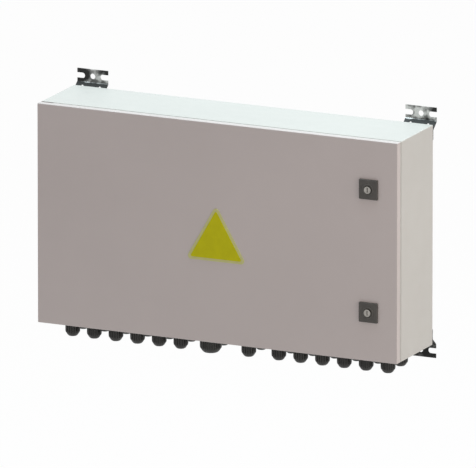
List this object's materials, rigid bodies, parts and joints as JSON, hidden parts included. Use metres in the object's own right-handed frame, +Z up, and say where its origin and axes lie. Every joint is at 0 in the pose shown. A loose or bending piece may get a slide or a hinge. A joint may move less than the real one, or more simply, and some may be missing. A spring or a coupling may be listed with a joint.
{
  "type": "solar combiner box",
  "caption": "Wall-mounted sheet steel solar combiner box with a hinged locking door, cable glands underneath, fuse holders, busbars and breaker inside.",
  "frame": {"origin": "centre of the four wall fixing holes, on the wall plane", "axes": "+X to the right as seen from the front, +Y into the wall, +Z up"},
  "size_m": [0.7, 0.174, 0.4596],
  "materials": {
    "enclosure_paint": "fine textured powder coat",
    "door_paint": "fine textured powder coat",
    "zinc_plate": "bright zinc plating",
    "galvanised_sheet": "galvanised",
    "gland_nylon": "moulded",
    "rubber": "soft",
    "lock_casting": "satin black",
    "lock_metal": "satin",
    "fuse_base_plastic": "moulded",
    "fuse_carrier_plastic": "moulded",
    "copper": "plain copper",
    "insulator_resin": "moulded resin",
    "breaker_plastic": "moulded",
    "handle_plastic": "moulded",
    "surge_plastic": "moulded",
    "cartridge_plastic": "moulded",
    "monitor_plastic": "moulded",
    "terminal_plastic": "moulded"
  },
  "bodies": {
    "enclosure": {"enclosure_shell": "enclosure_paint", "gland_plate": "enclosure_paint", "gland_plate_gasket": "rubber", "gland_plate_screws": "zinc_plate", "string_gland_bodies": "gland_nylon", "string_gland_caps": "gland_nylon", "string_gland_seals": "rubber", "string_gland_locknuts": "gland_nylon", "output_gland_body": "gland_nylon", "output_gland_cap": "gland_nylon", "output_gland_seal": "rubber", "output_gland_locknut": "gland_nylon", "mounting_lug_upper_left": "zinc_plate", "mounting_lug_upper_right": "zinc_plate", "mounting_lug_lower_left": "zinc_plate", "mounting_lug_lower_right": "zinc_plate", "lug_bolts": "zinc_plate", "fixing_nuts": "zinc_plate", "hinge_frame_leaves": "zinc_plate", "hinge_pins": "zinc_plate", "mounting_plate": "galvanised_sheet", "left_fuse_rail": "zinc_plate", "right_fuse_rail": "zinc_plate", "monitor_rail": "zinc_plate", "terminal_rail": "zinc_plate", "positive_fuse_bases": "fuse_base_plastic", "negative_fuse_bases": "fuse_base_plastic", "positive_busbar": "copper", "negative_busbar": "copper", "busbar_insulators": "insulator_resin", "busbar_screws": "zinc_plate", "breaker_case": "breaker_plastic", "surge_protector_base": "surge_plastic", "surge_cartridges": "cartridge_plastic", "monitor_unit": "monitor_plastic", "terminal_blocks": "terminal_plastic", "earth_bar": "copper"},
    "door": {"door_panel": "door_paint", "door_gasket": "rubber", "hinge_door_leaves": "zinc_plate", "upper_lock_housing": "lock_casting", "lower_lock_housing": "lock_casting", "lock_nuts": "zinc_plate"},
    "upper_lock": {"upper_lock_barrel": "lock_metal", "upper_lock_cam": "zinc_plate"},
    "lower_lock": {"lower_lock_barrel": "lock_metal", "lower_lock_cam": "zinc_plate"},
    "breaker_toggle": {"breaker_handle": "handle_plastic"},
    "fuse_carrier_01_swing": {"fuse_carrier_01": "fuse_carrier_plastic"},
    "fuse_carrier_02_swing": {"fuse_carrier_02": "fuse_carrier_plastic"},
    "fuse_carrier_03_swing": {"fuse_carrier_03": "fuse_carrier_plastic"},
    "fuse_carrier_04_swing": {"fuse_carrier_04": "fuse_carrier_plastic"},
    "fuse_carrier_05_swing": {"fuse_carrier_05": "fuse_carrier_plastic"},
    "fuse_carrier_06_swing": {"fuse_carrier_06": "fuse_carrier_plastic"},
    "fuse_carrier_07_swing": {"fuse_carrier_07": "fuse_carrier_plastic"},
    "fuse_carrier_08_swing": {"fuse_carrier_08": "fuse_carrier_plastic"},
    "fuse_carrier_09_swing": {"fuse_carrier_09": "fuse_carrier_plastic"},
    "fuse_carrier_10_swing": {"fuse_carrier_10": "fuse_carrier_plastic"},
    "fuse_carrier_11_swing": {"fuse_carrier_11": "fuse_carrier_plastic"},
    "fuse_carrier_12_swing": {"fuse_carrier_12": "fuse_carrier_plastic"}
  },
  "joints": [
    {"name": "door_hinge", "type": "hinge", "parent": "enclosure", "child": "door", "pos_m": [-0.3415, -0.1615, 0], "axis": [0, 0, -1], "range_deg": [0, 120]},
    {"name": "upper_lock_turn", "type": "hinge", "parent": "door", "child": "upper_lock", "pos_m": [0.295, -0.167, 0.1115], "axis": [0, -1, 0], "range_deg": [0, 90]},
    {"name": "lower_lock_turn", "type": "hinge", "parent": "door", "child": "lower_lock", "pos_m": [0.295, -0.167, -0.1115], "axis": [0, -1, 0], "range_deg": [0, 90]},
    {"name": "breaker_toggle_turn", "type": "hinge", "parent": "enclosure", "child": "breaker_toggle", "pos_m": [-0.037, -0.0925, 0.02], "axis": [-1, 0, 0], "range_deg": [0, 50]},
    {"name": "fuse_carrier_01_open", "type": "hinge", "parent": "enclosure", "child": "fuse_carrier_01_swing", "pos_m": [-0.298, -0.074, -0.037], "axis": [1, 0, 0], "range_deg": [0, 70]},
    {"name": "fuse_carrier_02_open", "type": "hinge", "parent": "enclosure", "child": "fuse_carrier_02_swing", "pos_m": [-0.262, -0.074, -0.037], "axis": [1, 0, 0], "range_deg": [0, 70]},
    {"name": "fuse_carrier_03_open", "type": "hinge", "parent": "enclosure", "child": "fuse_carrier_03_swing", "pos_m": [-0.226, -0.074, -0.037], "axis": [1, 0, 0], "range_deg": [0, 70]},
    {"name": "fuse_carrier_04_open", "type": "hinge", "parent": "enclosure", "child": "fuse_carrier_04_swing", "pos_m": [-0.19, -0.074, -0.037], "axis": [1, 0, 0], "range_deg": [0, 70]},
    {"name": "fuse_carrier_05_open", "type": "hinge", "parent": "enclosure", "child": "fuse_carrier_05_swing", "pos_m": [-0.154, -0.074, -0.037], "axis": [1, 0, 0], "range_deg": [0, 70]},
    {"name": "fuse_carrier_06_open", "type": "hinge", "parent": "enclosure", "child": "fuse_carrier_06_swing", "pos_m": [-0.118, -0.074, -0.037], "axis": [1, 0, 0], "range_deg": [0, 70]},
    {"name": "fuse_carrier_07_open", "type": "hinge", "parent": "enclosure", "child": "fuse_carrier_07_swing", "pos_m": [0.118, -0.074, -0.037], "axis": [1, 0, 0], "range_deg": [0, 70]},
    {"name": "fuse_carrier_08_open", "type": "hinge", "parent": "enclosure", "child": "fuse_carrier_08_swing", "pos_m": [0.154, -0.074, -0.037], "axis": [1, 0, 0], "range_deg": [0, 70]},
    {"name": "fuse_carrier_09_open", "type": "hinge", "parent": "enclosure", "child": "fuse_carrier_09_swing", "pos_m": [0.19, -0.074, -0.037], "axis": [1, 0, 0], "range_deg": [0, 70]},
    {"name": "fuse_carrier_10_open", "type": "hinge", "parent": "enclosure", "child": "fuse_carrier_10_swing", "pos_m": [0.226, -0.074, -0.037], "axis": [1, 0, 0], "range_deg": [0, 70]},
    {"name": "fuse_carrier_11_open", "type": "hinge", "parent": "enclosure", "child": "fuse_carrier_11_swing", "pos_m": [0.262, -0.074, -0.037], "axis": [1, 0, 0], "range_deg": [0, 70]},
    {"name": "fuse_carrier_12_open", "type": "hinge", "parent": "enclosure", "child": "fuse_carrier_12_swing", "pos_m": [0.298, -0.074, -0.037], "axis": [1, 0, 0], "range_deg": [0, 70]}
  ]
}
